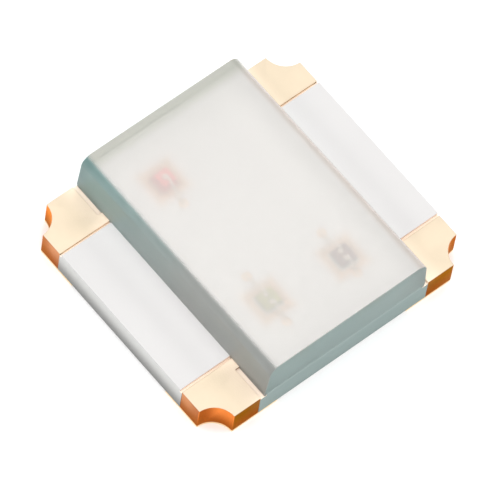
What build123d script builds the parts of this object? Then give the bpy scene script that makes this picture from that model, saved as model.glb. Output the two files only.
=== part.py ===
from build123d import *
import os
from math import radians, tan

os.makedirs("parts", exist_ok=True)

# A red, green and blue chip light: three dies on a white board, under one moulded strip of clear resin.
# X runs along the strip, Y across it and Z up. The origin is under the middle, on the solder side.

# The whole chip, as sawn from its panel
package_length = 3.2
package_width = 3.6

# The board, and the copper that is plated on both faces, on the sides at the corners and in the notches
laminate_thickness = 0.30
copper_thickness = 0.03
edge_plating = 0.03
notch_radius = 0.265

# The lands beside the strip, and the necks that lead in under it
land_length = 0.56
land_to_lens = 0.05
neck_width = 0.13
neck_root_radius = 0.025

# The lands on the solder side
bottom_land_length = 0.80
bottom_land_width = 0.90

# The white mask over the top face
mask_over_copper = 0.015
mask_clearance = 0.03
mask_step_under_lens = 0.03
die_window_side = 0.30
bond_window_diameter = 0.11

# The green mark on the solder side, a triangle whose square corner points to the common anode
mark_thickness = 0.02
mark_leg = 0.90
mark_offset = 0.34

# The moulded strip
lens_height = 0.51
lens_foot_width = 2.24
lens_draft = 4
lens_edge_radius = 0.14

# The copper under the strip
trace_width = 0.13
die_pad_side = 0.34
anode_bus_y = 0.05

# The three dies, each set in from the middle of the neck that feeds it
die_side = 0.21
red_die_height = 0.17
red_die_taper = 6
clear_die_height = 0.094
mesa_height = 0.006
mesa_margin = 0.010
cathode_clearance = 0.006
red_die_inset = 0.135
red_die_y = -0.42
green_die_inset = 0.305
green_die_y = -0.44
blue_die_inset = 0.235
blue_die_y = 0.54

# The glue that holds each die, with a small rim round its foot
attach_thickness = 0.012
attach_rim_height = 0.030
attach_spread = 0.030
attach_lip = 0.008
attach_corner_radius = 0.030

# The metal pads on the dies
electrode_thickness = 0.005
red_electrode_diameter = 0.090
clear_electrode_diameter = 0.066
electrode_inset = 0.052

# Gold wire, drawn eight-sided, with a ball on the die and a fan-shaped stitch on the copper
wire_diameter = 0.025
wire_sides = 8
ball_diameter = 0.058
ball_height = 0.018
ball_shoulder = 0.008
loop_rise = 0.085
loop_bend_radius = 0.026
stitch_run = 0.055
stitch_lift = 0.042
landing_bend_radius = 0.050
stitch_length = 0.070
stitch_width = 0.048
stitch_bulge = 0.012
stitch_thickness = 0.007
red_bond_reach = 0.33
green_bond_reach = 0.36
blue_bond_reach = 0.36

# Heights of the layers
laminate_bottom = copper_thickness
laminate_top = laminate_bottom + laminate_thickness
copper_top = laminate_top + copper_thickness
mask_top = copper_top + mask_over_copper
lens_top = mask_top + lens_height
die_foot = copper_top + attach_thickness

# Places that the layers share
half_length = package_length / 2
half_width = package_width / 2
lens_foot = lens_foot_width / 2
land_inner_x = half_length - land_length
land_inner_y = lens_foot + land_to_lens
land_width = half_width - land_inner_y
neck_x = land_inner_x + neck_width / 2
electrode_offset = die_side / 2 - electrode_inset
corners = {
    "anode": (-1, 1),
    "red": (-1, -1),
    "green": (1, -1),
    "blue": (1, 1),
}
red_die_place = (red_die_inset - neck_x, red_die_y)
green_die_place = (neck_x - green_die_inset, green_die_y)
blue_die_place = (neck_x - blue_die_inset, blue_die_y)
red_bond = (red_die_place[0] + red_bond_reach, red_die_y)
green_anode_bond = (green_die_place[0] - green_bond_reach, green_die_y)
blue_anode_bond = (blue_die_place[0] - blue_bond_reach, blue_die_y)
green_cathode_bond = (neck_x, green_die_y)
blue_cathode_bond = (neck_x, blue_die_y)
die_places = [red_die_place, green_die_place, blue_die_place]
bond_places = [
    red_bond,
    green_anode_bond,
    blue_anode_bond,
    green_cathode_bond,
    blue_cathode_bond,
]


def finish(piece, name):
    """Names a piece and writes it."""
    piece.part.label = name
    export_step(piece.part, f"parts/{name}.step")


def corner_rectangle(side, length, width, mode=Mode.ADD):
    """A rectangle that fills one corner of the package, inside the current sketch."""
    x_side, y_side = side
    with Locations((x_side * (half_length - length / 2), y_side * (half_width - width / 2))):
        Rectangle(length, width, mode=mode)


def corner_circle(side, radius, mode=Mode.ADD):
    """A circle round one corner of the package, inside the current sketch."""
    x_side, y_side = side
    with Locations((x_side * half_length, y_side * half_width)):
        Circle(radius, mode=mode)


def lay_run(start, end, width):
    """A straight run of copper along X or Y, inside the current sketch."""
    with Locations(((start[0] + end[0]) / 2, (start[1] + end[1]) / 2)):
        Rectangle(abs(end[0] - start[0]) + width, abs(end[1] - start[1]) + width)


# Board: white laminate, cut back at each corner by the plating that wraps it
with BuildPart() as board:
    with BuildSketch(Plane.XY.offset(laminate_bottom)):
        Rectangle(package_length, package_width)
        for side in corners.values():
            corner_rectangle(side, edge_plating, land_width, Mode.SUBTRACT)
            corner_rectangle(side, land_length, edge_plating, Mode.SUBTRACT)
            corner_circle(side, notch_radius + edge_plating, Mode.SUBTRACT)
    extrude(amount=laminate_thickness)
finish(board, "board")


def make_terminal(name, runs, pads):
    """Plated copper: a land on each face, the wrap that joins them, and the runs that lead to the dies."""
    side = corners[name]
    x_side, y_side = side
    with BuildPart() as terminal:
        with BuildSketch(Plane.XY.offset(laminate_top)) as top_copper:
            corner_rectangle(side, land_length, land_width)
            for start, end, width in runs:
                lay_run(start, end, width)
            for pad in pads:
                with Locations(pad):
                    Rectangle(die_pad_side, die_pad_side)
            corner_circle(side, notch_radius, Mode.SUBTRACT)
            neck_root = (x_side * (land_inner_x + neck_width), y_side * land_inner_y)
            fillet(top_copper.vertices().sort_by_distance(neck_root)[0], neck_root_radius)
        extrude(amount=copper_thickness)
        with BuildSketch(Plane.XY.offset(laminate_bottom)):
            corner_rectangle(side, edge_plating, land_width)
            corner_rectangle(side, land_length, edge_plating)
            corner_circle(side, notch_radius + edge_plating)
            corner_rectangle(side, land_length, land_width, Mode.INTERSECT)
            corner_circle(side, notch_radius, Mode.SUBTRACT)
        extrude(amount=laminate_thickness)
        with BuildSketch(Plane.XY):
            corner_rectangle(side, bottom_land_length, bottom_land_width)
            corner_circle(side, notch_radius, Mode.SUBTRACT)
        extrude(amount=copper_thickness)
    return terminal


def neck(name, inner_y):
    """The run from a corner's land in under the lens, as far as inner_y."""
    x_side, y_side = corners[name]
    return ((x_side * neck_x, y_side * land_inner_y), (x_side * neck_x, inner_y), neck_width)


# Terminals: the common anode reaches a bond place beside each die, and each colour has a die pad
bus_end_x = max(green_anode_bond[0], blue_anode_bond[0])
anode_terminal = make_terminal(
    "anode",
    [
        neck("anode", anode_bus_y),
        ((-neck_x, anode_bus_y), (bus_end_x, anode_bus_y), trace_width),
        ((red_bond[0], anode_bus_y), red_bond, trace_width),
        ((green_anode_bond[0], anode_bus_y), green_anode_bond, trace_width),
        ((blue_anode_bond[0], anode_bus_y), blue_anode_bond, trace_width),
    ],
    [],
)
red_terminal = make_terminal(
    "red",
    [
        neck("red", red_die_place[1]),
        ((-neck_x, red_die_place[1]), red_die_place, trace_width),
    ],
    [red_die_place],
)
green_terminal = make_terminal(
    "green",
    [
        neck("green", green_die_place[1]),
        (green_die_place, green_cathode_bond, trace_width),
    ],
    [green_die_place],
)
blue_terminal = make_terminal(
    "blue",
    [
        neck("blue", blue_die_place[1]),
        (blue_die_place, blue_cathode_bond, trace_width),
    ],
    [blue_die_place],
)
terminals = [anode_terminal, red_terminal, green_terminal, blue_terminal]
finish(anode_terminal, "anode_terminal")
finish(red_terminal, "red_terminal")
finish(green_terminal, "green_terminal")
finish(blue_terminal, "blue_terminal")

# Solder mask: a white coat that leaves each corner bare as far as the lens, with windows at the dies
opening_length = land_length + mask_clearance
opening_width = half_width - lens_foot + mask_step_under_lens
with BuildPart() as solder_mask:
    with BuildSketch(Plane.XY.offset(laminate_top)):
        Rectangle(package_length, package_width)
        for side in corners.values():
            corner_rectangle(side, opening_length, opening_width, Mode.SUBTRACT)
        with Locations(*die_places):
            Rectangle(die_window_side, die_window_side, mode=Mode.SUBTRACT)
        with Locations(*bond_places):
            Circle(bond_window_diameter / 2, mode=Mode.SUBTRACT)
    extrude(amount=copper_thickness + mask_over_copper)
    for terminal in terminals:
        add(terminal.part, mode=Mode.SUBTRACT)
finish(solder_mask, "solder_mask")

# Polarity mark: a triangle printed between the lands on the solder side
with BuildPart() as polarity_mark:
    with BuildSketch(Plane.XY.offset(laminate_bottom - mark_thickness)):
        with BuildLine():
            Polyline(
                (-mark_offset, mark_offset),
                (-mark_offset, mark_offset - mark_leg),
                (-mark_offset + mark_leg, mark_offset),
                close=True,
            )
        make_face()
    extrude(amount=mark_thickness)
finish(polarity_mark, "polarity_mark")

# Dies: the red one is sawn with sloped sides, and the other two are clear blocks with a raised mesa
with BuildPart() as red_die:
    with BuildSketch(Plane.XY.offset(die_foot)):
        with Locations(red_die_place):
            Rectangle(die_side, die_side)
    extrude(amount=red_die_height, taper=red_die_taper)
finish(red_die, "red_die")


def make_clear_die(place):
    """A clear block whose mesa is cut away on one side, where the cathode pad sits lower."""
    x, y = place
    mesa_side = die_side - 2 * mesa_margin
    cut_radius = clear_electrode_diameter / 2 + cathode_clearance
    cut_reach = die_side / 2 - electrode_offset
    with BuildPart() as die:
        with BuildSketch(Plane.XY.offset(die_foot)):
            with Locations(place):
                Rectangle(die_side, die_side)
        extrude(amount=clear_die_height)
        with BuildSketch(Plane.XY.offset(die_foot + clear_die_height)):
            with Locations(place):
                Rectangle(mesa_side, mesa_side)
            with Locations((x + electrode_offset, y)):
                Circle(cut_radius, mode=Mode.SUBTRACT)
            with Locations((x + electrode_offset + cut_reach / 2, y)):
                Rectangle(cut_reach, 2 * cut_radius, mode=Mode.SUBTRACT)
        extrude(amount=mesa_height)
    return die


green_die = make_clear_die(green_die_place)
blue_die = make_clear_die(blue_die_place)
finish(green_die, "green_die")
finish(blue_die, "blue_die")


def make_attach(place, die):
    """The glue under a die, with a rim that climbs its sides."""
    foot_side = die_side + 2 * attach_spread
    rim_side = die_side + 2 * attach_lip
    with BuildPart() as attach:
        with BuildSketch(Plane.XY.offset(copper_top)):
            with Locations(place):
                RectangleRounded(foot_side, foot_side, attach_corner_radius)
        with BuildSketch(Plane.XY.offset(copper_top + attach_rim_height)):
            with Locations(place):
                RectangleRounded(rim_side, rim_side, attach_corner_radius)
        loft()
        add(die.part, mode=Mode.SUBTRACT)
    return attach


red_die_attach = make_attach(red_die_place, red_die)
green_die_attach = make_attach(green_die_place, green_die)
blue_die_attach = make_attach(blue_die_place, blue_die)
finish(red_die_attach, "red_die_attach")
finish(green_die_attach, "green_die_attach")
finish(blue_die_attach, "blue_die_attach")


def make_electrode(x, y, height, diameter):
    """A round metal pad on a die, for a wire."""
    with BuildPart() as electrode:
        with BuildSketch(Plane.XY.offset(height)):
            with Locations((x, y)):
                Circle(diameter / 2)
        extrude(amount=electrode_thickness)
    return electrode


# Pads on the dies: one on the red die, and an anode and a lower cathode on each clear one
red_top = die_foot + red_die_height
cathode_level = die_foot + clear_die_height
mesa_top = cathode_level + mesa_height
green_x, green_y = green_die_place
blue_x, blue_y = blue_die_place
red_electrode = make_electrode(*red_die_place, red_top, red_electrode_diameter)
green_anode_electrode = make_electrode(
    green_x - electrode_offset, green_y, mesa_top, clear_electrode_diameter
)
green_cathode_electrode = make_electrode(
    green_x + electrode_offset, green_y, cathode_level, clear_electrode_diameter
)
blue_anode_electrode = make_electrode(
    blue_x - electrode_offset, blue_y, mesa_top, clear_electrode_diameter
)
blue_cathode_electrode = make_electrode(
    blue_x + electrode_offset, blue_y, cathode_level, clear_electrode_diameter
)
finish(red_electrode, "red_electrode")
finish(green_anode_electrode, "green_anode_electrode")
finish(green_cathode_electrode, "green_cathode_electrode")
finish(blue_anode_electrode, "blue_anode_electrode")
finish(blue_cathode_electrode, "blue_cathode_electrode")


def make_wire(start, end):
    """A bond wire from a pad on a die, whose top is start, to a place on the copper."""
    foot = Vector(*start)
    landing = Vector(*end, copper_top)
    away = Vector(landing.X - foot.X, landing.Y - foot.Y, 0).normalized()
    stitch_top = Vector(0, 0, stitch_thickness - wire_diameter / 2)
    with BuildPart() as wire:
        with BuildLine() as route:
            FilletPolyline(
                foot + Vector(0, 0, ball_height / 2),
                foot + Vector(0, 0, ball_height + loop_rise),
                landing - away * stitch_run + Vector(0, 0, stitch_lift),
                landing + stitch_top,
                radius=[loop_bend_radius, landing_bend_radius],
            )
        with BuildSketch(Plane(origin=route.line @ 0, x_dir=away, z_dir=route.line % 0)):
            RegularPolygon(wire_diameter / 2, wire_sides, rotation=180 / wire_sides)
        sweep()
        with BuildSketch(Plane(origin=foot, x_dir=(1, 0, 0), z_dir=(0, -1, 0))):
            with BuildLine():
                Polyline(
                    (0, 0),
                    (ball_diameter / 2, 0),
                    (ball_diameter / 2, ball_height - ball_shoulder),
                    (ball_diameter / 2 - ball_shoulder, ball_height),
                    (0, ball_height),
                    close=True,
                )
            make_face()
        revolve(axis=Axis(start, (0, 0, 1)))
        with BuildSketch(Plane(origin=landing, x_dir=away, z_dir=(0, 0, 1))):
            with BuildLine():
                fan = Polyline(
                    (stitch_length / 2 - stitch_bulge, stitch_width / 2),
                    (-stitch_length / 2, wire_diameter / 2),
                    (-stitch_length / 2, -wire_diameter / 2),
                    (stitch_length / 2 - stitch_bulge, -stitch_width / 2),
                )
                ThreePointArc(fan @ 1, (stitch_length / 2, 0), fan @ 0)
            make_face()
        extrude(amount=stitch_thickness)
        split(bisect_by=Plane.XY.offset(copper_top), keep=Keep.TOP)
    return wire


# Bond wires: each runs from a pad on a die to its place on the copper
mesa_pad_top = mesa_top + electrode_thickness
cathode_pad_top = cathode_level + electrode_thickness
red_wire = make_wire((*red_die_place, red_top + electrode_thickness), red_bond)
green_anode_wire = make_wire((green_x - electrode_offset, green_y, mesa_pad_top), green_anode_bond)
green_cathode_wire = make_wire((green_x + electrode_offset, green_y, cathode_pad_top), green_cathode_bond)
blue_anode_wire = make_wire((blue_x - electrode_offset, blue_y, mesa_pad_top), blue_anode_bond)
blue_cathode_wire = make_wire((blue_x + electrode_offset, blue_y, cathode_pad_top), blue_cathode_bond)
finish(red_wire, "red_wire")
finish(green_anode_wire, "green_anode_wire")
finish(green_cathode_wire, "green_cathode_wire")
finish(blue_anode_wire, "blue_anode_wire")
finish(blue_cathode_wire, "blue_cathode_wire")

# Lens: a moulded strip with drafted sides and rounded long edges, sawn flush with the board's ends.
# The resin fills the mask's windows and closes round all that stands on the board.
lens_shoulder = lens_foot - lens_height * tan(radians(lens_draft))
with BuildPart() as lens:
    with BuildSketch(Plane.YZ) as strip_section:
        with BuildLine():
            Polyline(
                (-lens_foot, laminate_top),
                (-lens_foot, mask_top),
                (-lens_shoulder, lens_top),
                (lens_shoulder, lens_top),
                (lens_foot, mask_top),
                (lens_foot, laminate_top),
                close=True,
            )
        make_face()
        fillet(strip_section.vertices().group_by(Axis.Y)[-1], lens_edge_radius)
    extrude(amount=half_length, both=True)
    for covered in [
        *terminals,
        solder_mask,
        red_die,
        green_die,
        blue_die,
        red_die_attach,
        green_die_attach,
        blue_die_attach,
        red_electrode,
        green_anode_electrode,
        green_cathode_electrode,
        blue_anode_electrode,
        blue_cathode_electrode,
        red_wire,
        green_anode_wire,
        green_cathode_wire,
        blue_anode_wire,
        blue_cathode_wire,
    ]:
        add(covered.part, mode=Mode.SUBTRACT)
finish(lens, "lens")
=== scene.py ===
from math import cos, pi, radians, sin, tan
from types import SimpleNamespace

import bpy
from bpy.props import FloatProperty, FloatVectorProperty, PointerProperty
from mathutils import Matrix, Vector


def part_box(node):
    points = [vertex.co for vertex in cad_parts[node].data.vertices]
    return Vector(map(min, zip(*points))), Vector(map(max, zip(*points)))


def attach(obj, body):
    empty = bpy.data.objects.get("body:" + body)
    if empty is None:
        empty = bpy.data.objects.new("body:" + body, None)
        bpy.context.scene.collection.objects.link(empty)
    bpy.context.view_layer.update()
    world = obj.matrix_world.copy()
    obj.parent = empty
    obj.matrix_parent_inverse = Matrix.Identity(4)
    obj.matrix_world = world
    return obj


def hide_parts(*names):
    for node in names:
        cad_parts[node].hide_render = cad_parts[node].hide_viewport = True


bl_info = {
    "name": "Chip Light",
    "version": (1, 0, 0),
    "blender": (4, 5, 0),
    "location": "3D View > Sidebar > Chip Light",
    "description": "A red, green and blue chip light with its dies, wires, plated lands and moulded strip",
    "category": "Add Mesh",
}

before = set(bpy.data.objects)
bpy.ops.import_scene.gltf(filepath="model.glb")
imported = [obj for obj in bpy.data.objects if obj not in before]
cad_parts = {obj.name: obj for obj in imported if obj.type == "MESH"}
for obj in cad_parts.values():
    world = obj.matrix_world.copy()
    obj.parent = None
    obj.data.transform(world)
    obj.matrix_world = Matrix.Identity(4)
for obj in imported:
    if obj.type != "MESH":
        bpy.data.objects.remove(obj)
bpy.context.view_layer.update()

# Pieces are shaped on a bench where one unit is a millimetre, because Blender merges and bevels by
# distances that are large beside a part this small. They are brought down to metres when they are done.
BENCH = 1000

# How far a cutter stands past what it cuts, how near a point lies to a plane that it is picked by, and
# how far apart two points are when they are merged, all in millimetres.
OVERSHOOT = 0.05
NEAR = 0.001
MERGED = 0.0002

# The least cosine of a face that is picked by its direction.
SQUARE_ON = 0.9

WHITE = (1, 1, 1, 1)

# Each terminal's corner, as its signs along X and Y.
CORNERS = {"anode": (-1, 1), "red": (-1, -1), "green": (1, -1), "blue": (1, 1)}
DIES = ("red_die", "green_die", "blue_die")

# Each bond wire, with the pad on a die that it starts from.
WIRES = {
    "red_wire": "red_electrode",
    "green_anode_wire": "green_anode_electrode",
    "green_cathode_wire": "green_cathode_electrode",
    "blue_anode_wire": "blue_anode_electrode",
    "blue_cathode_wire": "blue_cathode_electrode",
}
SELECT_MODES = {"VERT": (True, False, False), "EDGE": (False, True, False), "FACE": (False, False, True)}


def length(name, description, millimetres):
    """A length that a user may change, given in millimetres and kept in metres."""
    return FloatProperty(
        name=name, description=description, default=millimetres / BENCH, min=0, precision=6, unit="LENGTH"
    )


def angle(name, description, degrees):
    """An angle that a user may change."""
    return FloatProperty(name=name, description=description, default=radians(degrees), unit="ROTATION")


def plain(name, description, value):
    """A number without a unit that a user may change."""
    return FloatProperty(name=name, description=description, default=value, min=0)


def colour(name, description, tone):
    """A colour that a user may change."""
    return FloatVectorProperty(
        name=name, description=description, default=tone, min=0, max=1, subtype="COLOR"
    )


class BoardSizes(bpy.types.PropertyGroup):
    """The copper and the mask on the board."""

    notch_radius: length("Notch radius", "Radius of the plated notch at each corner", 0.265)
    plating: length("Side plating", "Thickness of the copper on the board's sides", 0.03)
    land_length: length("Land length", "Length of a top land along the strip", 0.56)
    land_gap: length("Land gap", "Distance from the foot of the resin to a land", 0.05)
    neck_width: length("Neck width", "Width of the run that leads in from a land", 0.13)
    trace_width: length("Trace width", "Width of a run under the resin", 0.13)
    pad_side: length("Die pad", "Side of the square pad under a die", 0.34)
    bus_place: length("Bus place", "Distance of the common run from the middle of the board", 0.05)
    bottom_land_length: length("Bottom land length", "Length of a land on the solder side", 0.80)
    bottom_land_width: length("Bottom land width", "Width of a land on the solder side", 0.90)
    copper_edge: length("Copper edge", "Rounding of the plated edges", 0.008)
    mask_gap: length("Mask gap", "Bare gap beside each land", 0.03)
    mask_step: length("Mask step", "How far a corner opening reaches in under the resin", 0.03)
    die_window: length("Die window", "Side of the opening over a die pad", 0.30)
    bond_window: length("Bond window", "Diameter of the opening over a bond place", 0.11)
    mask_edge: length("Mask edge", "Rounding of the mask's edges", 0.010)


class ResinSizes(bpy.types.PropertyGroup):
    """The moulded strip."""

    draft: angle("Draft", "Slope of the long walls", 4)
    edge_radius: length("Edge radius", "Rounding of the two long top edges", 0.14)
    sawn_edge: length("Sawn edge", "Rounding where the saw has cut the strip", 0.007)
    foot_inset: length("Foot inset", "How far the resin inside the windows stays from the walls", 0.006)
    foot_clearance: length("Foot clearance", "Gap left over the board in the windows", 0.002)


class WireSizes(bpy.types.PropertyGroup):
    """The bond wires."""

    diameter: length("Wire diameter", "Diameter of the gold wire", 0.025)
    ball_diameter: length("Ball diameter", "Diameter of the ball on the die", 0.058)
    ball_height: length("Ball height", "Height of the ball on the die", 0.018)
    loop_rise: length("Loop rise", "Height of the loop over the ball", 0.085)
    loop_reach: length("Loop reach", "How far the top of the loop leans out", 0.045)
    stitch_run: length("Stitch run", "Length of the flat stretch before the stitch", 0.055)
    stitch_lift: length("Stitch lift", "Height of the wire where that stretch starts", 0.042)
    stitch_length: length("Stitch length", "Length of the flat stitch", 0.070)
    stitch_width: length("Stitch width", "Width of the stitch at its tail", 0.048)
    stitch_thickness: length("Stitch thickness", "Thickness of the stitch", 0.007)


class Finishes(bpy.types.PropertyGroup):
    """The colours of the materials."""

    resin_top: colour("Resin top", "Milky resin over the dies", (0.865, 0.85, 0.83))
    # Painted light and shade on the resin's top: a lighter far half, a darker beige band along the far edge
    # and a darker grey-green band along the far end.
    resin_far_end: colour("Resin top, far end", "Resin along the top's far end", (0.70, 0.715, 0.64))
    resin_far_half: colour("Resin top, far half", "Resin towards the top's far edge", (0.905, 0.89, 0.87))
    resin_far_edge: colour("Resin top, far edge", "Resin along the top's far edge", (0.86, 0.78, 0.725))
    # Painted shade: the resin's long walls and sawn ends take these darker teal and grey tones in place of
    # the shade that falls on them.
    resin_teal: colour("Resin wall, far", "Resin in the long walls, far end", (0.185, 0.37, 0.365))
    resin_grey: colour("Resin wall, near", "Resin in the long walls, near end", (0.295, 0.322, 0.312))
    resin_end: colour("Resin ends", "Resin in the sawn ends", (0.175, 0.292, 0.282))
    # Painted shade: the walls are darkened where they are met from inside the resin.
    resin_inner: colour("Resin inside", "Resin in the walls, seen from inside", (0.10, 0.09, 0.07))
    mask: colour("Mask", "White solder mask in the open", (0.53, 0.52, 0.515))
    mask_covered: colour("Mask under resin", "White solder mask, wetted by the resin", (0.85, 0.84, 0.82))
    mask_on_copper: colour("Mask on copper", "Mask that copper shows through", (0.80, 0.56, 0.38))
    mask_edge: colour("Mask edge", "Edge of the mask beside a land", (0.88, 0.72, 0.62))
    # Painted shade: the board's sawn sides are darker towards the bottom, and darker and tealer on the
    # ends.
    laminate_end: colour("Laminate ends", "Board sawn across the strip", (0.23, 0.295, 0.285))
    laminate_long: colour("Laminate sides", "Board sawn along the strip, at its top", (0.54, 0.54, 0.525))
    laminate_low: colour("Laminate sides, low", "Board sawn along the strip, low", (0.21, 0.21, 0.205))
    # The bare laminate's own tan, painted lighter against the shade in the gaps and beside the resin.
    laminate_bare: colour("Bare laminate", "Laminate between a land and the mask", (0.95, 0.80, 0.66))
    laminate_below: colour("Laminate below", "Laminate on the solder side", (0.86, 0.85, 0.82))
    gold_flat: colour("Gold on the lands", "Matt gold on the flat lands", (0.59, 0.50, 0.38))
    # Painted light: the lands are lightened beside the foot of the resin, where its walls shade them.
    gold_foot: colour("Gold by the strip", "Matt gold beside the foot of the resin", (1.0, 0.83, 0.66))
    gold_below: colour("Gold, solder side", "Matt gold of the lands on the solder side", (0.92, 0.70, 0.42))
    gold_covered: colour("Gold under resin", "Gold of the pads that the resin covers", (0.91, 0.66, 0.48))
    # Painted shade: the plating on the sides is darker and redder than on the lands, darkest low down, near
    # the notches and on the ends. The notches take a more orange tone.
    gold_end: colour("Gold on the ends", "Plating on the ends, where it is brownest", (0.25, 0.085, 0.008))
    gold_long: colour("Gold on the long sides", "Plating on the long sides", (0.58, 0.27, 0.15))
    gold_notch: colour("Gold in the notches", "Copper-rich plating in the notches", (0.80, 0.25, 0.06))
    gold_low: colour("Gold, low", "Plating low on the sides, where it is reddest", (0.32, 0.07, 0.015))
    wire_gold: colour("Wire gold", "Drawn gold wire", (0.95, 0.84, 0.70))
    pad_gold: colour("Pad gold", "Thin metal of the pads on the clear dies", (0.50, 0.40, 0.22))
    pad_rose: colour("Pad on the red die", "Thin metal of the pad on the red die", (0.72, 0.24, 0.18))
    ink: colour("Ink", "Green mark on the solder side", (0.03, 0.22, 0.10))
    red_chip: colour("Red chip", "The red die", (0.93, 0.15, 0.10))
    green_chip: colour("Green chip", "The green die", (0.37, 0.35, 0.05))
    blue_chip: colour("Blue chip", "The blue die", (0.17, 0.045, 0.01))
    silver_glue: colour("Silver glue", "Glue under the red die", (0.78, 0.50, 0.36))
    clear_glue: colour("Clear glue", "Glue under the clear dies", (0.80, 0.76, 0.66))
    floor: colour("Floor", "Pale studio floor", (0.93, 0.93, 0.93))


class Studio(bpy.types.PropertyGroup):
    """The camera and the light."""

    azimuth: angle("Azimuth", "Camera's turn round the part from the near long side", 41.22)
    elevation: angle("Elevation", "Camera's height over the floor", 60.96)
    roll: angle("Roll", "Camera's tilt about its own axis", 10.67)
    distance: length("Distance", "From the camera to the middle of the part", 80)
    focal_length: plain("Focal length", "Focal length in millimetres", 535.16)
    aim_height: length("Aim height", "Height of the point that the camera is framed on", 0.32)
    aim_right: length("Aim right", "How far that point stands right of the picture's middle", 0.0008)
    aim_up: length("Aim up", "How far that point stands above the picture's middle", 0.1461)
    softbox_side: length("Softbox side", "Side of the square light overhead", 120)
    softbox_height: length("Softbox height", "Height of the light over the floor", 50)
    softbox_radiance: plain("Softbox radiance", "Brightness of the light", 1.45)
    room_radiance: plain("Room radiance", "Brightness of the white room", 0.72)
    floor_side: length("Floor side", "Side of the square floor", 600)
    floor_drop: length("Floor drop", "How far the floor lies below the part", 0.002)


def on_bench(group):
    """A group's values, with its lengths in millimetres."""
    values = {}
    for setting in group.bl_rna.properties:
        if setting.type == "FLOAT" and not setting.is_array:
            scale = BENCH if setting.unit == "LENGTH" else 1
            values[setting.identifier] = getattr(group, setting.identifier) * scale
    return SimpleNamespace(**values)


def node_box(node):
    """The lowest and highest corner of a CAD node, in millimetres."""
    low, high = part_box(node)
    return low * BENCH, high * BENCH


def middle(node):
    """The middle of a CAD node's box, in millimetres."""
    low, high = node_box(node)
    return (low + high) / 2


def package():
    """The levels and half sizes that the pieces share, in millimetres."""
    board_low, board_high = node_box("board")
    mask_top = node_box("solder_mask")[1].z
    copper_top = node_box("red_terminal")[1].z
    lens_high = node_box("lens")[1]
    return SimpleNamespace(
        half_length=board_high.x,
        half_width=board_high.y,
        laminate_bottom=board_low.z,
        laminate_top=board_high.z,
        copper_top=copper_top,
        mask_top=mask_top,
        lens_foot=lens_high.y,
        lens_top=lens_high.z,
    )


def bond_places():
    """Where each bond wire lands on the copper, by the wire's name, in millimetres."""
    stitch = on_bench(bpy.context.scene.chip_wire).stitch_length
    copper_top = package().copper_top
    places = {}
    for wire, pad in WIRES.items():
        low, high = node_box(wire)
        pad_place = middle(pad)
        runs_left = pad_place.x - low.x > high.x - pad_place.x
        x = low.x + stitch / 2 if runs_left else high.x - stitch / 2
        places[wire] = Vector((x, pad_place.y, copper_top))
    return places


def deselect():
    """Leaves nothing selected."""
    bpy.ops.object.select_all(action="DESELECT")


def choose(piece):
    """Selects one piece alone and makes it the active one."""
    deselect()
    piece.select_set(True)
    bpy.context.view_layer.objects.active = piece


def block(name, low, high):
    """A block between two corners."""
    deselect()
    corners = [sorted(pair) for pair in zip(low, high)]
    bpy.ops.mesh.primitive_cube_add(
        size=1,
        location=[(start + end) / 2 for start, end in corners],
        scale=[end - start for start, end in corners],
    )
    bpy.ops.object.transform_apply(location=True, rotation=True, scale=True)
    piece = bpy.context.object
    piece.name = name
    return piece


def post(name, place, radius, low, high, sides=96):
    """A round post between two heights."""
    deselect()
    bpy.ops.mesh.primitive_cylinder_add(
        vertices=sides, radius=radius, depth=high - low, location=(place[0], place[1], (low + high) / 2)
    )
    bpy.ops.object.transform_apply(location=True, rotation=True, scale=True)
    piece = bpy.context.object
    piece.name = name
    return piece


def combine(piece, other, operation):
    """Joins two pieces in the way that the operation names, and throws the second away."""
    choose(piece)
    step = piece.modifiers.new("combine", "BOOLEAN")
    step.operation = operation
    step.solver = "EXACT"
    step.object = other
    bpy.ops.object.modifier_apply(modifier=step.name)
    bpy.data.objects.remove(other)


def cut(piece, cutter):
    """Cuts one piece out of another."""
    combine(piece, cutter, "DIFFERENCE")


def melt(piece, other):
    """Makes one solid of two."""
    combine(piece, other, "UNION")


def edit(piece, kind, test):
    """Opens a piece for editing with only those of its edges or faces selected that pass a test."""
    choose(piece)
    bpy.context.tool_settings.mesh_select_mode = SELECT_MODES[kind]
    mesh = piece.data
    for items in (mesh.vertices, mesh.edges, mesh.polygons):
        for item in items:
            item.select = False
    if kind == "EDGE":
        for edge in mesh.edges:
            edge.select = test(*(mesh.vertices[index].co for index in edge.vertices))
    else:
        for face in mesh.polygons:
            face.select = test(face.center, face.normal)
    bpy.ops.object.mode_set(mode="EDIT")


def edit_whole(piece):
    """Opens a piece for editing with all of it selected."""
    choose(piece)
    bpy.context.tool_settings.mesh_select_mode = SELECT_MODES["VERT"]
    bpy.ops.object.mode_set(mode="EDIT")
    bpy.ops.mesh.select_all(action="SELECT")


def close_edit():
    """Leaves edit mode."""
    bpy.ops.object.mode_set(mode="OBJECT")


def tidy(piece):
    """Merges what the cuts left double and joins the faces that lie in one plane."""
    same_plane = radians(0.5)
    edit_whole(piece)
    bpy.ops.mesh.remove_doubles(threshold=MERGED)
    bpy.ops.mesh.dissolve_limited(angle_limit=same_plane)
    bpy.ops.mesh.normals_make_consistent(inside=False)
    close_edit()


def soften(piece, width, segments=3, sharper_than=35):
    """Rounds the edges of a piece that turn by more than so many degrees."""
    choose(piece)
    step = piece.modifiers.new("soften", "BEVEL")
    step.limit_method = "ANGLE"
    step.angle_limit = radians(sharper_than)
    step.width = width
    step.segments = segments
    step.use_clamp_overlap = True
    bpy.ops.object.modifier_apply(modifier=step.name)


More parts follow.
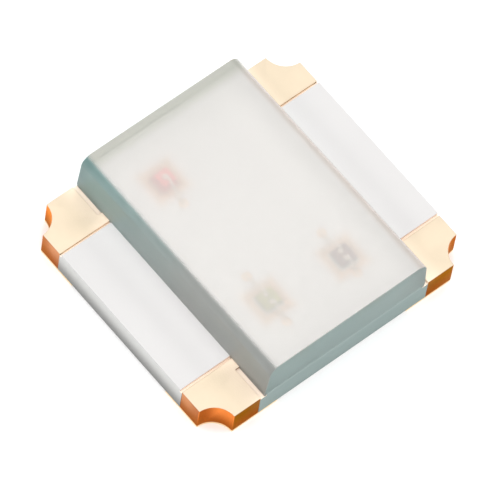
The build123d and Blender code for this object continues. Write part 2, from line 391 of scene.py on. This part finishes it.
def hand_over(piece, name, material, smooth_below=30):
    """Brings a piece from the bench to its real size, dresses it and lets it ride on the body."""
    choose(piece)
    piece.name = name
    piece.scale = [1 / BENCH] * 3
    bpy.ops.object.transform_apply(location=True, rotation=True, scale=True)
    bpy.ops.object.shade_smooth_by_angle(angle=radians(smooth_below))
    piece.data.materials.clear()
    piece.data.materials.append(material)
    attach(piece, "root")


def dress(node, material):
    """Gives a CAD node its material."""
    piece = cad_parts[node]
    for place in piece.material_slots:
        place.link = "DATA"
        place.material = material
    if not piece.material_slots:
        piece.data.materials.append(material)


class Amount:
    """A number that varies over a surface. Python's operators on it add Math nodes."""

    def __init__(self, finish, socket):
        self.finish = finish
        self.socket = socket

    def __add__(self, other):
        return self.finish.maths("ADD", self, other)

    __radd__ = __add__

    def __sub__(self, other):
        return self.finish.maths("SUBTRACT", self, other)

    def __rsub__(self, other):
        return self.finish.maths("SUBTRACT", other, self)

    def __mul__(self, other):
        return self.finish.maths("MULTIPLY", self, other)

    __rmul__ = __mul__

    def __abs__(self):
        return self.finish.maths("ABSOLUTE", self)


class Finish:
    """A material while it is drawn up."""

    def __init__(self, name):
        self.material = bpy.data.materials.new(name)
        self.material.use_nodes = True
        self.tree = self.material.node_tree
        self.tree.nodes.clear()

    def add(self, kind, settings=None, sockets=None):
        """Adds a node, sets its settings and then its sockets, and returns it."""
        node = self.tree.nodes.new(kind)
        for name, value in (settings or {}).items():
            setattr(node, name, value)
        for key, value in (sockets or {}).items():
            socket = node.inputs[key]
            if isinstance(value, Amount):
                self.tree.links.new(value.socket, socket)
            elif isinstance(value, bpy.types.NodeSocket):
                self.tree.links.new(value, socket)
            else:
                socket.default_value = value
        return node

    def maths(self, operation, *values):
        """A Math node."""
        node = self.add("ShaderNodeMath", {"operation": operation}, dict(enumerate(values)))
        return Amount(self, node.outputs[0])

    def larger(self, first, second):
        """The larger of two numbers."""
        return self.maths("MAXIMUM", first, second)

    def fade(self, value, start, end):
        """From 0 at the start value to 1 at the end value, smoothly."""
        sockets = {"Value": value, "From Min": start, "From Max": end}
        node = self.add("ShaderNodeMapRange", {"interpolation_type": "SMOOTHSTEP"}, sockets)
        return Amount(self, node.outputs["Result"])

    def blend(self, share, first, second):
        """One colour going over into another."""
        settings = {"data_type": "RGBA"}
        node = self.add("ShaderNodeMix", settings, {0: share, 6: first, 7: second})
        return node.outputs[2]

    def toned(self, share, name, start, end):
        """One of the finishes' colours, going over from one strength into another."""
        return self.blend(share, shade(name, start), shade(name, end))

    def millimetres(self):
        """The place on the object, in millimetres."""
        place = self.add("ShaderNodeTexCoord").outputs["Object"]
        node = self.add("ShaderNodeVectorMath", {"operation": "SCALE"}, {0: place, "Scale": BENCH})
        return node.outputs[0]

    def stretched(self, place, factors):
        """A place whose axes are multiplied, so that a pattern on it is drawn out."""
        node = self.add("ShaderNodeVectorMath", {"operation": "MULTIPLY"}, {0: place, 1: factors})
        return node.outputs[0]

    def axes(self, vector):
        """The three numbers of a vector."""
        node = self.add("ShaderNodeSeparateXYZ", sockets={0: vector})
        return [Amount(self, node.outputs[index]) for index in range(3)]

    def facing(self):
        """The direction that the surface faces, as three numbers."""
        return self.axes(self.add("ShaderNodeTexCoord").outputs["Normal"])

    def inside(self):
        """1 where the surface is met from inside the piece, as through clear resin."""
        return Amount(self, self.add("ShaderNodeNewGeometry").outputs["Backfacing"])

    def noise(self, place, patches, detail=3):
        """Cloudy noise from 0 to 1, with so many patches to the millimetre."""
        sockets = {"Vector": place, "Scale": patches, "Detail": detail}
        return Amount(self, self.add("ShaderNodeTexNoise", sockets=sockets).outputs[0])

    def relief(self, height, depth):
        """A normal for bumps that stand so many metres high."""
        sockets = {"Height": height, "Distance": depth, "Strength": 1.0}
        return self.add("ShaderNodeBump", sockets=sockets).outputs["Normal"]

    def surface(self, **sockets):
        """Ends the material with one shader, whose sockets are named with underscores for spaces."""
        named = {name.replace("_", " "): value for name, value in sockets.items()}
        shader = self.add("ShaderNodeBsdfPrincipled", sockets=named)
        self.add("ShaderNodeOutputMaterial", sockets={"Surface": shader.outputs[0]})
        return self.material


def shade(name, strength=1.0):
    """One of the finishes' colours with alpha, made lighter or darker."""
    parts = getattr(bpy.context.scene.chip_finishes, name)
    return (*(min(part * strength, 1) for part in parts), 1)


def resin_finish():
    """Milky resin: clear enough to show the dies, with saw marks on the two ends, and painted shade and
    light: teal and grey shade on the walls and ends, a glow at their foot, bands on the top.
    """
    finish = Finish("milky resin")
    levels = package()
    place = finish.millimetres()
    x, y, z = finish.axes(place)
    x_facing, y_facing, z_facing = finish.facing()
    clouds = finish.noise(place, patches=1.2)

    # Ranges in which one tone goes over into the next: facings are cosines, places are millimetres.
    crisp_shoulder = (0.80, 0.995)
    soft_shoulder = (0.08, 0.35)
    far_facing = (-0.1, 0.1)
    sawn_facing = (0.90, 0.99)
    teal_to_grey = (-1.2, 1.1)
    foot_glow = (levels.mask_top, levels.mask_top + 0.25)
    far_half = (levels.lens_foot - 0.82, levels.lens_foot - 0.27)
    far_edge = (levels.lens_foot - 0.19, levels.lens_foot - 0.09)
    far_end = (0.08 - levels.half_length, 0.26 - levels.half_length)
    foot_glow_share = 0.12

    # Painted shade goes on the walls by facing: on the near side it reaches further up the rounded top edge
    # than on the far side.
    crisp_wall = 1 - finish.fade(abs(z_facing), *crisp_shoulder)
    soft_wall = 1 - finish.fade(abs(z_facing), *soft_shoulder)
    wall = crisp_wall + finish.fade(y_facing, *far_facing) * (soft_wall - crisp_wall)
    sawn = finish.fade(abs(x_facing), *sawn_facing)
    low = 1 - finish.fade(z, *foot_glow)
    # Painted shade on the walls: teal towards the far end, grey towards the near end, and darker on the
    # sawn ends.
    wall_shade_tone = finish.blend(
        finish.fade(x + clouds, *teal_to_grey), shade("resin_teal"), shade("resin_grey")
    )
    # Painted glow: the walls are whitened towards their foot.
    wall_shade_tone = finish.blend(low * foot_glow_share, wall_shade_tone, WHITE)
    wall_shade_tone = finish.blend(sawn, wall_shade_tone, shade("resin_end"))
    # Painted shade: seen from inside, the walls take a dark tone, which darkens the top near the walls.
    wall_shade_tone = finish.blend(finish.inside(), wall_shade_tone, shade("resin_inner"))
    top_tone = finish.toned(clouds, "resin_top", 0.98, 1.0)
    # Painted light and shade on the top: the far half lighter, the far edge and the far end darker.
    top_tone = finish.blend(finish.fade(y, *far_half), top_tone, shade("resin_far_half"))
    top_tone = finish.blend(finish.fade(y, *far_edge), top_tone, shade("resin_far_edge"))
    top_tone = finish.blend(1 - finish.fade(x, *far_end), top_tone, shade("resin_far_end"))
    saw_marks = finish.noise(finish.stretched(place, (1, 1.5, 60)), patches=1, detail=2)
    skin = finish.noise(place, patches=14, detail=2)
    return finish.surface(
        Base_Color=finish.blend(wall, top_tone, wall_shade_tone),
        Roughness=0.17 + wall * 0.20,
        IOR=1.5,
        Transmission_Weight=0.645,
        Normal=finish.relief(saw_marks * sawn + skin * 0.15, depth=1.5e-6),
    )


def mask_finish():
    """White solder mask with an orange-peel skin, wetted under the resin, with painted light beside the
    strip's foot and painted shade on its sawn sides.
    """
    finish = Finish("white solder mask")
    levels = package()
    foot = levels.lens_foot
    place = finish.millimetres()
    x, y = finish.axes(place)[:2]
    x_facing, y_facing, z_facing = finish.facing()
    speck = finish.noise(place, patches=40, detail=3)
    clouds = finish.noise(place, patches=1.5, detail=2)

    # Ranges in which one tone goes over into the next: facings are cosines, places are millimetres.
    level_facing = (0.2, 0.7)
    end_facing = (0.6, 0.9)
    painted_light_by_strip = (foot, foot + 0.38)
    under_strip = (foot - 0.01, foot)
    copper_shows = (0.14, 0.28)
    sawn_plane = (levels.half_length - 0.2, levels.half_length - 0.1)

    # Painted light: the mask is lightened towards the foot of the resin, where the strip's walls shade it.
    painted_foot_light = 1 - finish.fade(abs(y), *painted_light_by_strip)
    white = finish.toned(clouds, "mask", 0.98, 1.02)
    white = finish.blend(painted_foot_light, white, shade("mask", 1.30))
    covered = shade("mask_covered")
    for die in DIES:
        pad = middle(die)
        from_pad = finish.larger(abs(x - pad.x), abs(y - pad.y))
        over_pad = 1 - finish.fade(from_pad, *copper_shows)
        covered = finish.blend(over_pad, covered, shade("mask_on_copper"))
    white = finish.blend(finish.fade(abs(y), *under_strip), covered, white)
    across = finish.fade(abs(x_facing), *end_facing)
    sawn = finish.fade(x * x_facing + y * y_facing, *sawn_plane)
    # Painted shade: the mask's sawn sides take the laminate's shaded side tones.
    sawn_tone = finish.blend(across, shade("laminate_long"), shade("laminate_end"))
    edge_tone = finish.blend(sawn, shade("mask_edge"), sawn_tone)
    return finish.surface(
        Base_Color=finish.blend(1 - finish.fade(z_facing, *level_facing), white, edge_tone),
        Roughness=0.45 + speck * 0.15,
        Normal=finish.relief(speck, depth=0.8e-6),
    )


def laminate_finish():
    """White laminate, with the ends of its glass weave on the sawn sides, painted shade on those sides,
    darker low down and darker and tealer on the ends, and the bare tan laminate painted lighter.
    """
    finish = Finish("white laminate")
    levels = package()
    place = finish.millimetres()
    z = finish.axes(place)[2]
    x_facing, _, z_facing = finish.facing()
    weave = finish.noise(finish.stretched(place, (6, 6, 45)), patches=1, detail=3)
    grain = finish.noise(place, patches=60, detail=2)

    # Facings, as cosines, between which a side goes over into a face or an end.
    level_facing = (0.3, 0.8)
    end_facing = (0.6, 0.9)

    # Painted shade: the long sides darken towards the bottom, and the ends take a darker teal tone.
    high = finish.fade(z, levels.laminate_bottom, levels.laminate_top)
    long_tone = finish.toned(weave, "laminate_low", 0.90, 1.10)
    long_tone = finish.blend(high, long_tone, shade("laminate_long"))
    end_tone = finish.toned(weave, "laminate_end", 0.92, 1.06)
    tone = finish.blend(finish.fade(abs(x_facing), *end_facing), long_tone, end_tone)
    # The bare laminate on the top is its own tan, painted lighter against the shade in the gaps.
    tone = finish.blend(finish.fade(z_facing, *level_facing), tone, shade("laminate_bare"))
    tone = finish.blend(finish.fade(-1 * z_facing, *level_facing), tone, shade("laminate_below"))
    return finish.surface(
        Base_Color=tone,
        Roughness=0.7,
        Normal=finish.relief(weave * 0.7 + grain * 0.3, depth=2e-6),
    )


def plating_finish():
    """Gold over copper: matt and pale on the lands, with painted light beside the resin, and redder and
    darker on the sides and in the notches as painted shade.
    """
    finish = Finish("gold plating")
    levels = package()
    foot = levels.lens_foot
    place = finish.millimetres()
    x, y, z = finish.axes(place)
    x_facing, y_facing, z_facing = finish.facing()
    stain = finish.noise(place, patches=5, detail=4)
    grain = finish.noise(place, patches=70, detail=2)

    # Ranges in which one tone goes over into the next: facings are cosines, places are millimetres.
    level_facing = (0.35, 0.90)
    end_facing = (0.5, 0.9)
    notch_end_facing = (0.6, 1.0)
    above_solder_land = (levels.laminate_bottom - 0.002, levels.laminate_bottom + 0.004)
    painted_light_by_strip = (foot - 0.08, foot + 0.30)
    under_strip = (foot - 0.01, foot)
    outer_plane = (0.0, 0.4)

    # Squares of distances from the board's corner, in which the notch ends and its painted shade fades out.
    notch_square = on_bench(bpy.context.scene.chip_board).notch_radius ** 2
    notch_end = (notch_square, notch_square * 1.1)
    notch_shade = (notch_square, notch_square * 3)
    low_share = 0.85
    shaded_share = 0.9
    by_notch_share = 0.6
    matt_metallic = 0.35

    high = finish.fade(z, levels.laminate_bottom, levels.laminate_top)
    side = (1 - finish.fade(abs(z_facing), *level_facing)) * finish.fade(z, *above_solder_land)
    outer = finish.fade(x * x_facing + y * y_facing, *outer_plane)
    # Painted light: the lands are lightened and made less metallic beside the foot of the resin, where its
    # walls shade them.
    painted_foot_light = high * (1 - finish.fade(abs(y), *painted_light_by_strip))
    top = finish.blend(painted_foot_light, finish.toned(stain, "gold_flat", 0.95, 1.05), shade("gold_foot"))
    top = finish.blend(finish.fade(abs(y), *under_strip), shade("gold_covered"), top)
    flat = finish.blend(high, finish.toned(stain, "gold_below", 0.95, 1.05), top)

    past_x = abs(x) - levels.half_length
    past_y = abs(y) - levels.half_width
    corner_square = past_x * past_x + past_y * past_y
    notched = 1 - finish.fade(corner_square, *notch_end)
    by_notch = 1 - finish.fade(corner_square, *notch_shade)
    # Painted shade on the sides: darker and redder than the lands, more so on the ends and near the
    # notches, with real stains. The notches take a more orange tone.
    long_tone = finish.toned(stain, "gold_long", 0.85, 1.10)
    long_tone = finish.blend(by_notch * by_notch_share, long_tone, shade("gold_low"))
    end_tone = finish.toned(stain, "gold_end", 0.70, 1.30)
    wall = finish.blend(finish.fade(abs(x_facing), *end_facing), long_tone, end_tone)
    wall = finish.blend(notched, wall, finish.toned(stain, "gold_notch", 0.80, 1.15))
    # Painted shade on the part of each notch that faces along the strip, and low down on the sides.
    shaded = notched * finish.fade(abs(x_facing), *notch_end_facing)
    darkest = finish.larger((1 - high) * low_share, shaded * shaded_share)
    wall = finish.blend(darkest, wall, shade("gold_low"))
    return finish.surface(
        Base_Color=finish.blend(side * outer, flat, wall),
        Metallic=matt_metallic * (1 - painted_foot_light) + (1 - matt_metallic) * side,
        Roughness=0.38 + grain * 0.14,
        Specular_Tint=(1.0, 0.75, 0.45, 1.0),
        Normal=finish.relief(grain, depth=1e-6),
    )


def wire_finish():
    """Drawn gold wire."""
    finish = Finish("gold wire")
    grain = finish.noise(finish.millimetres(), patches=90, detail=2)
    return finish.surface(
        Base_Color=finish.toned(grain, "wire_gold", 0.92, 1.0),
        Metallic=0.3,
        Roughness=0.5 + grain * 0.1,
    )


def film_finish(name, tone_name):
    """The thin metal film of a pad on a die."""
    finish = Finish(name)
    probe_marks = finish.noise(finish.millimetres(), patches=120, detail=2)
    return finish.surface(
        Base_Color=finish.toned(probe_marks, tone_name, 0.85, 1.0),
        Metallic=0.5,
        Roughness=0.3 + probe_marks * 0.2,
    )


def ink_finish():
    """Green ink, printed a little unevenly."""
    finish = Finish("green ink")
    speck = finish.noise(finish.millimetres(), patches=30, detail=4)
    return finish.surface(
        Base_Color=finish.toned(speck, "ink", 0.85, 1.2),
        Roughness=0.5,
        Normal=finish.relief(speck, depth=1e-6),
    )


def chip_side(finish):
    """1 on the sides of a die and 0 on its top."""
    level_facing = (0.3, 0.8)
    return 1 - finish.fade(finish.facing()[2], *level_facing)


def red_chip_finish():
    """The red die, with rough sawn sides, painted darker as shade."""
    finish = Finish("red chip")
    side = chip_side(finish)
    grain = finish.noise(finish.millimetres(), patches=90, detail=3)
    return finish.surface(
        Base_Color=finish.toned(side, "red_chip", 1.0, 0.8),
        Roughness=0.5,
        Normal=finish.relief(grain * side, depth=2e-6),
    )


def clear_chip_finish(name, tone_name):
    """A clear die, with painted shade on its cut sides."""
    finish = Finish(name)
    side = chip_side(finish)
    streaks = finish.noise(finish.stretched(finish.millimetres(), (40, 40, 4)), patches=1, detail=2)
    return finish.surface(
        Base_Color=finish.toned(side, tone_name, 1.0, 0.55),
        Roughness=0.25,
        Normal=finish.relief(streaks * side, depth=1e-6),
    )


def glue_finish(name, tone_name, metallic):
    """Glue under a die."""
    finish = Finish(name)
    flake = finish.noise(finish.millimetres(), patches=80, detail=3)
    return finish.surface(
        Base_Color=finish.toned(flake, tone_name, 0.85, 1.05),
        Metallic=metallic,
        Roughness=0.5,
        Normal=finish.relief(flake, depth=1.5e-6),
    )


def floor_finish():
    """Pale floor paper."""
    finish = Finish("pale floor")
    paper = finish.noise(finish.millimetres(), patches=0.05, detail=2)
    return finish.surface(Base_Color=finish.toned(paper, "floor", 0.995, 1.0), Roughness=0.9)


class CHIPLIGHT_OT_board(bpy.types.Operator):
    """Finish the laminate and the printed mark"""

    bl_idname = "chiplight.board"
    bl_label = "Board"

    def execute(self, context):
        dress("board", laminate_finish())
        dress("polarity_mark", ink_finish())
        return {"FINISHED"}


def land_column(name, side, sizes, levels):
    """Plated copper round one corner: a land on each face, and the wrap between them."""
    x_side, y_side = side
    corner = (x_side * levels.half_length, y_side * levels.half_width)

    def inwards(along, across):
        """The place so far in from the corner, along and across the strip."""
        return (corner[0] - x_side * along, corner[1] - y_side * across)

    land_width = levels.half_width - levels.lens_foot - sizes.land_gap
    column = block(name, (*inwards(sizes.land_length, land_width), 0), (*corner, levels.copper_top))
    past_inner = inwards(sizes.land_length + OVERSHOOT, land_width + OVERSHOOT)
    plated = inwards(sizes.plating, sizes.plating)
    core = block("core", (*past_inner, levels.laminate_bottom), (*plated, levels.laminate_top))
    reach = (levels.laminate_bottom - OVERSHOOT, levels.laminate_top + OVERSHOOT)
    cut(core, post("core notch", corner, sizes.notch_radius + sizes.plating, *reach))
    cut(column, core)
    bottom_inner = inwards(sizes.bottom_land_length, sizes.bottom_land_width)
    melt(column, block("bottom land", (*bottom_inner, 0), (*corner, levels.laminate_bottom)))
    cut(column, post("notch", corner, sizes.notch_radius, -OVERSHOOT, levels.copper_top + OVERSHOOT))
    return column


def add_run(terminal, start, end, width, levels):
    """Melts a straight run of copper along X or Y into a terminal."""
    low = [min(pair) - width / 2 for pair in zip(start, end)]
    high = [max(pair) + width / 2 for pair in zip(start, end)]
    melt(terminal, block("run", (*low, levels.laminate_top), (*high, levels.copper_top)))


class CHIPLIGHT_OT_terminals(bpy.types.Operator):
    """Model the four plated terminals"""

    bl_idname = "chiplight.terminals"
    bl_label = "Terminals"

    def execute(self, context):
        sizes = on_bench(context.scene.chip_board)
        levels = package()
        bonds = bond_places()
        material = plating_finish()
        land_inner = levels.half_length - sizes.land_length
        neck_x = land_inner + sizes.neck_width / 2
        land_edge = levels.lens_foot + sizes.land_gap
        for colour_name, side in CORNERS.items():
            x_side, y_side = side
            name = f"{colour_name}_terminal"
            terminal = land_column(name, side, sizes, levels)
            neck_start = (x_side * neck_x, y_side * land_edge)
            if colour_name == "anode":
                bus = sizes.bus_place
                neck_end = (neck_start[0], bus)
                places = [bonds[wire] for wire in ("red_wire", "green_anode_wire", "blue_anode_wire")]
                bus_end = (max(place.x for place in places), bus)
                add_run(terminal, neck_end, bus_end, sizes.trace_width, levels)
                for place in places:
                    add_run(terminal, (place.x, bus), place.xy, sizes.trace_width, levels)
            else:
                die = middle(f"{colour_name}_die")
                neck_end = (neck_start[0], die.y)
                add_run(terminal, neck_end, die.xy, sizes.trace_width, levels)
                add_run(terminal, die.xy, die.xy, sizes.pad_side, levels)
            add_run(terminal, neck_start, neck_end, sizes.neck_width, levels)
            tidy(terminal)
            soften(terminal, sizes.copper_edge)
            hand_over(terminal, f"{name}_plated", material)
            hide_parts(name)
        return {"FINISHED"}


class CHIPLIGHT_OT_mask(bpy.types.Operator):
    """Model the white solder mask with its openings"""

    bl_idname = "chiplight.mask"
    bl_label = "Solder mask"

    def execute(self, context):
        sizes = on_bench(context.scene.chip_board)
        levels = package()
        bottom, top = levels.laminate_top, levels.mask_top
        reach = (bottom - OVERSHOOT, top + OVERSHOOT)
        corner = Vector((levels.half_length, levels.half_width, 0))
        panel = corner + Vector((OVERSHOOT, OVERSHOOT, 0))
        mask = block("mask", (-panel.x, -panel.y, bottom), (panel.x, panel.y, top))
        inner_x = levels.half_length - sizes.land_length - sizes.mask_gap
        inner_y = levels.lens_foot - sizes.mask_step
        beyond = panel + Vector((OVERSHOOT, OVERSHOOT, 0))
        for x_side, y_side in CORNERS.values():
            low = (x_side * inner_x, y_side * inner_y, reach[0])
            high = (x_side * beyond.x, y_side * beyond.y, reach[1])
            cut(mask, block("opening", low, high))
        half_window = sizes.die_window / 2
        for die in DIES:
            place = middle(die)
            low = (place.x - half_window, place.y - half_window, reach[0])
            high = (place.x + half_window, place.y + half_window, reach[1])
            cut(mask, block("die window", low, high))
        for place in bond_places().values():
            cut(mask, post("bond window", place, sizes.bond_window / 2, *reach, sides=48))
        tidy(mask)
        soften(mask, sizes.mask_edge)
        sawn_out = block("sawn out", (-corner.x, -corner.y, reach[0]), (corner.x, corner.y, reach[1]))
        combine(mask, sawn_out, "INTERSECT")
        tidy(mask)
        hand_over(mask, "solder_mask_coat", mask_finish())
        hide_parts("solder_mask")
        return {"FINISHED"}


class CHIPLIGHT_OT_lens(bpy.types.Operator):
    """Model the moulded resin strip"""

    bl_idname = "chiplight.lens"
    bl_label = "Moulded strip"

    def execute(self, context):
        sizes = on_bench(context.scene.chip_resin)
        levels = package()
        foot, top = levels.mask_top, levels.lens_top
        half_length, half_width = levels.half_length, levels.lens_foot

        def is_long_shoulder(one, two):
            return min(one.z, two.z) > top - NEAR and abs(one.x - two.x) > half_length

        def is_sawn_edge(one, two):
            on_end_planes = min(abs(one.x), abs(two.x)) > half_length - NEAR
            on_one_end = on_end_planes and abs(one.x - two.x) < half_length
            return on_one_end and max(one.z, two.z) > foot + NEAR

        strip = block("strip", (-half_length, -half_width, foot), (half_length, half_width, top))
        shoulder = half_width - (top - foot) * tan(sizes.draft)
        edit(strip, "FACE", lambda centre, normal: normal.z > SQUARE_ON)
        bpy.ops.transform.resize(value=(1, shoulder / half_width, 1))
        close_edit()
        edit(strip, "FACE", lambda centre, normal: normal.z < -SQUARE_ON)
        bpy.ops.mesh.inset(thickness=sizes.foot_inset)
        drop = levels.mask_top - levels.laminate_top - sizes.foot_clearance
        bpy.ops.mesh.extrude_region_move(TRANSFORM_OT_translate={"value": (0, 0, -drop)})
        close_edit()
        half_turn = (pi / 2 - sizes.draft) / 2
        edit(strip, "EDGE", is_long_shoulder)
        bpy.ops.mesh.bevel(offset=sizes.edge_radius * tan(half_turn), offset_type="OFFSET", segments=12)
        close_edit()
        edit(strip, "EDGE", is_sawn_edge)
        bpy.ops.mesh.bevel(offset=sizes.sawn_edge, offset_type="OFFSET", segments=3)
        close_edit()
        hand_over(strip, "lens_strip", resin_finish())
        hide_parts("lens")
        return {"FINISHED"}


class CHIPLIGHT_OT_dies(bpy.types.Operator):
    """Finish the three dies, their glue and their metal pads"""

    bl_idname = "chiplight.dies"
    bl_label = "Dies"

    def execute(self, context):
        dress("red_die", red_chip_finish())
        dress("green_die", clear_chip_finish("green chip", "green_chip"))
        dress("blue_die", clear_chip_finish("blue chip", "blue_chip"))
        dress("red_die_attach", glue_finish("silver glue", "silver_glue", metallic=0.3))
        clear_glue = glue_finish("clear glue", "clear_glue", metallic=0)
        dress("green_die_attach", clear_glue)
        dress("blue_die_attach", clear_glue)
        rose_film = film_finish("rose film", "pad_rose")
        gold_film = film_finish("gold film", "pad_gold")
        for pad in WIRES.values():
            dress(pad, rose_film if pad == "red_electrode" else gold_film)
        return {"FINISHED"}


def ball(place, sizes):
    """The squashed ball where a wire starts."""
    rounded_share = 0.35
    piece = post("ball", place, sizes.ball_diameter / 2, place.z, place.z + sizes.ball_height, sides=32)
    soften(piece, sizes.ball_height * rounded_share, segments=4)
    return piece


def stitch(place, away, sizes):
    """The flat fan where a wire ends."""

    def is_tail_edge(one, two):
        past_middle = min((one.x - place.x) * away, (two.x - place.x) * away) > 0
        return past_middle and abs(one.z - two.z) > sizes.stitch_thickness / 2

    rounded_share = 0.3
    half_length = sizes.stitch_length / 2
    half_width = sizes.diameter / 2
    low = (place.x - half_length, place.y - half_width, place.z)
    high = (place.x + half_length, place.y + half_width, place.z + sizes.stitch_thickness)
    piece = block("stitch", low, high)
    edit(piece, "FACE", lambda centre, normal: normal.x * away > SQUARE_ON)
    bpy.ops.transform.resize(value=(1, sizes.stitch_width / sizes.diameter, 1))
    close_edit()
    edit(piece, "EDGE", is_tail_edge)
    bpy.ops.mesh.bevel(offset=sizes.stitch_width * rounded_share, offset_type="OFFSET", segments=4)
    close_edit()
    return piece


def loop(start, end, away, sizes):
    """The wire between the ball and the stitch, as a tube on a smooth line, cut off inside the stitch."""
    deselect()
    bpy.ops.curve.primitive_nurbs_path_add()
    line = bpy.context.object
    out = Vector((away, 0, 0))
    up = Vector((0, 0, 1))
    rise = sizes.ball_height + sizes.loop_rise
    sunk = up * (sizes.stitch_thickness - sizes.diameter / 2)
    route = [
        start + up * sizes.ball_height / 2,
        start + up * rise,
        start + up * rise + out * sizes.loop_reach,
        end - out * sizes.stitch_run + up * sizes.stitch_lift,
        end + sunk,
    ]
    spline = line.data.splines[0]
    for point, place in zip(spline.points, route):
        point.co = (*place, 1)
    spline.order_u = 3
    spline.use_endpoint_u = True
    spline.resolution_u = 8
    line.location = (0, 0, 0)
    line.data.bevel_depth = sizes.diameter / 2
    line.data.bevel_resolution = 3
    line.data.use_fill_caps = True
    choose(line)
    bpy.ops.object.convert(target="MESH")
    tube = bpy.context.object
    tidy(tube)
    inside_stitch = end + up * sizes.stitch_thickness / 2
    edit_whole(tube)
    bpy.ops.mesh.bisect(plane_co=inside_stitch, plane_no=up, use_fill=True, clear_inner=True)
    close_edit()
    return tube


class CHIPLIGHT_OT_wires(bpy.types.Operator):
    """Model the five bond wires"""

    bl_idname = "chiplight.wires"
    bl_label = "Bond wires"

    def execute(self, context):
        sizes = on_bench(context.scene.chip_wire)
        material = wire_finish()
        bonds = bond_places()
        for name, pad in WIRES.items():
            start = middle(pad)
            start.z = node_box(pad)[1].z
            end = bonds[name]
            away = 1 if end.x > start.x else -1
            wire = loop(start, end, away, sizes)
            melt(wire, ball(start, sizes))
            melt(wire, stitch(end, away, sizes))
            hand_over(wire, f"{name}_drawn", material, smooth_below=50)
            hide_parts(name)
        return {"FINISHED"}


class CHIPLIGHT_OT_stage(bpy.types.Operator):
    """Set up the floor, the light and the camera"""

    bl_idname = "chiplight.stage"
    bl_label = "Stage"

    def execute(self, context):
        studio = context.scene.chip_studio
        clip_ratio = 100
        deselect()
        bpy.ops.mesh.primitive_plane_add(size=studio.floor_side, location=(0, 0, -studio.floor_drop))
        floor = context.object
        floor.name = "floor"
        floor.data.materials.append(floor_finish())

        bpy.ops.object.light_add(type="AREA", location=(0, 0, studio.softbox_height))
        softbox = context.object
        softbox.name = "softbox"
        softbox.data.size = studio.softbox_side
        softbox.data.energy = studio.softbox_radiance * pi * studio.softbox_side**2

        room = bpy.data.worlds.new("white room")
        room.use_nodes = True
        backdrop = room.node_tree.nodes["Background"]
        backdrop.inputs["Color"].default_value = WHITE
        backdrop.inputs["Strength"].default_value = studio.room_radiance
        context.scene.world = room
        context.scene.view_settings.view_transform = "Standard"

        turn, height = studio.azimuth, studio.elevation
        back = Vector((sin(turn) * cos(height), -cos(turn) * cos(height), sin(height)))
        level = Vector((cos(turn), sin(turn), 0))
        raised = back.cross(level)
        right = level * cos(studio.roll) + raised * sin(studio.roll)
        up = raised * cos(studio.roll) - level * sin(studio.roll)
        aim = Vector((0, 0, studio.aim_height)) - right * studio.aim_right - up * studio.aim_up
        bpy.ops.object.camera_add()
        camera = context.object
        turned = Matrix((right, up, back)).transposed().to_4x4()
        camera.matrix_world = Matrix.Translation(aim + back * studio.distance) @ turned
        camera.data.lens = studio.focal_length
        camera.data.clip_start = studio.distance / clip_ratio
        camera.data.clip_end = studio.distance * clip_ratio
        context.scene.camera = camera
        return {"FINISHED"}


class CHIPLIGHT_PT_panel(bpy.types.Panel):
    """The sizes, the colours and the steps that make the part"""

    bl_label = "Chip Light"
    bl_idname = "CHIPLIGHT_PT_panel"
    bl_space_type = "VIEW_3D"
    bl_region_type = "UI"
    bl_category = "Chip Light"

    def draw(self, context):
        for step in STEPS:
            self.layout.operator(step.bl_idname)
        for name in GROUPS:
            box = self.layout.box()
            group = getattr(context.scene, name)
            for setting in group.__annotations__:
                box.prop(group, setting)


GROUPS = {
    "chip_board": BoardSizes,
    "chip_resin": ResinSizes,
    "chip_wire": WireSizes,
    "chip_finishes": Finishes,
    "chip_studio": Studio,
}
STEPS = (
    CHIPLIGHT_OT_board,
    CHIPLIGHT_OT_terminals,
    CHIPLIGHT_OT_mask,
    CHIPLIGHT_OT_dies,
    CHIPLIGHT_OT_wires,
    CHIPLIGHT_OT_lens,
    CHIPLIGHT_OT_stage,
)


def register():
    """Adds the settings, the steps and the panel."""
    for kind in (*GROUPS.values(), *STEPS, CHIPLIGHT_PT_panel):
        bpy.utils.register_class(kind)
    for name, kind in GROUPS.items():
        setattr(bpy.types.Scene, name, PointerProperty(type=kind))


def unregister():
    """Takes them away again."""
    for name in GROUPS:
        delattr(bpy.types.Scene, name)
    for kind in (CHIPLIGHT_PT_panel, *reversed(STEPS), *reversed(GROUPS.values())):
        bpy.utils.unregister_class(kind)


def main():
    """Makes the part step by step."""
    register()
    bpy.ops.chiplight.board()
    bpy.ops.chiplight.terminals()
    bpy.ops.chiplight.mask()
    bpy.ops.chiplight.dies()
    bpy.ops.chiplight.wires()
    bpy.ops.chiplight.lens()
    bpy.ops.chiplight.stage()


if __name__ == "__main__":
    main()
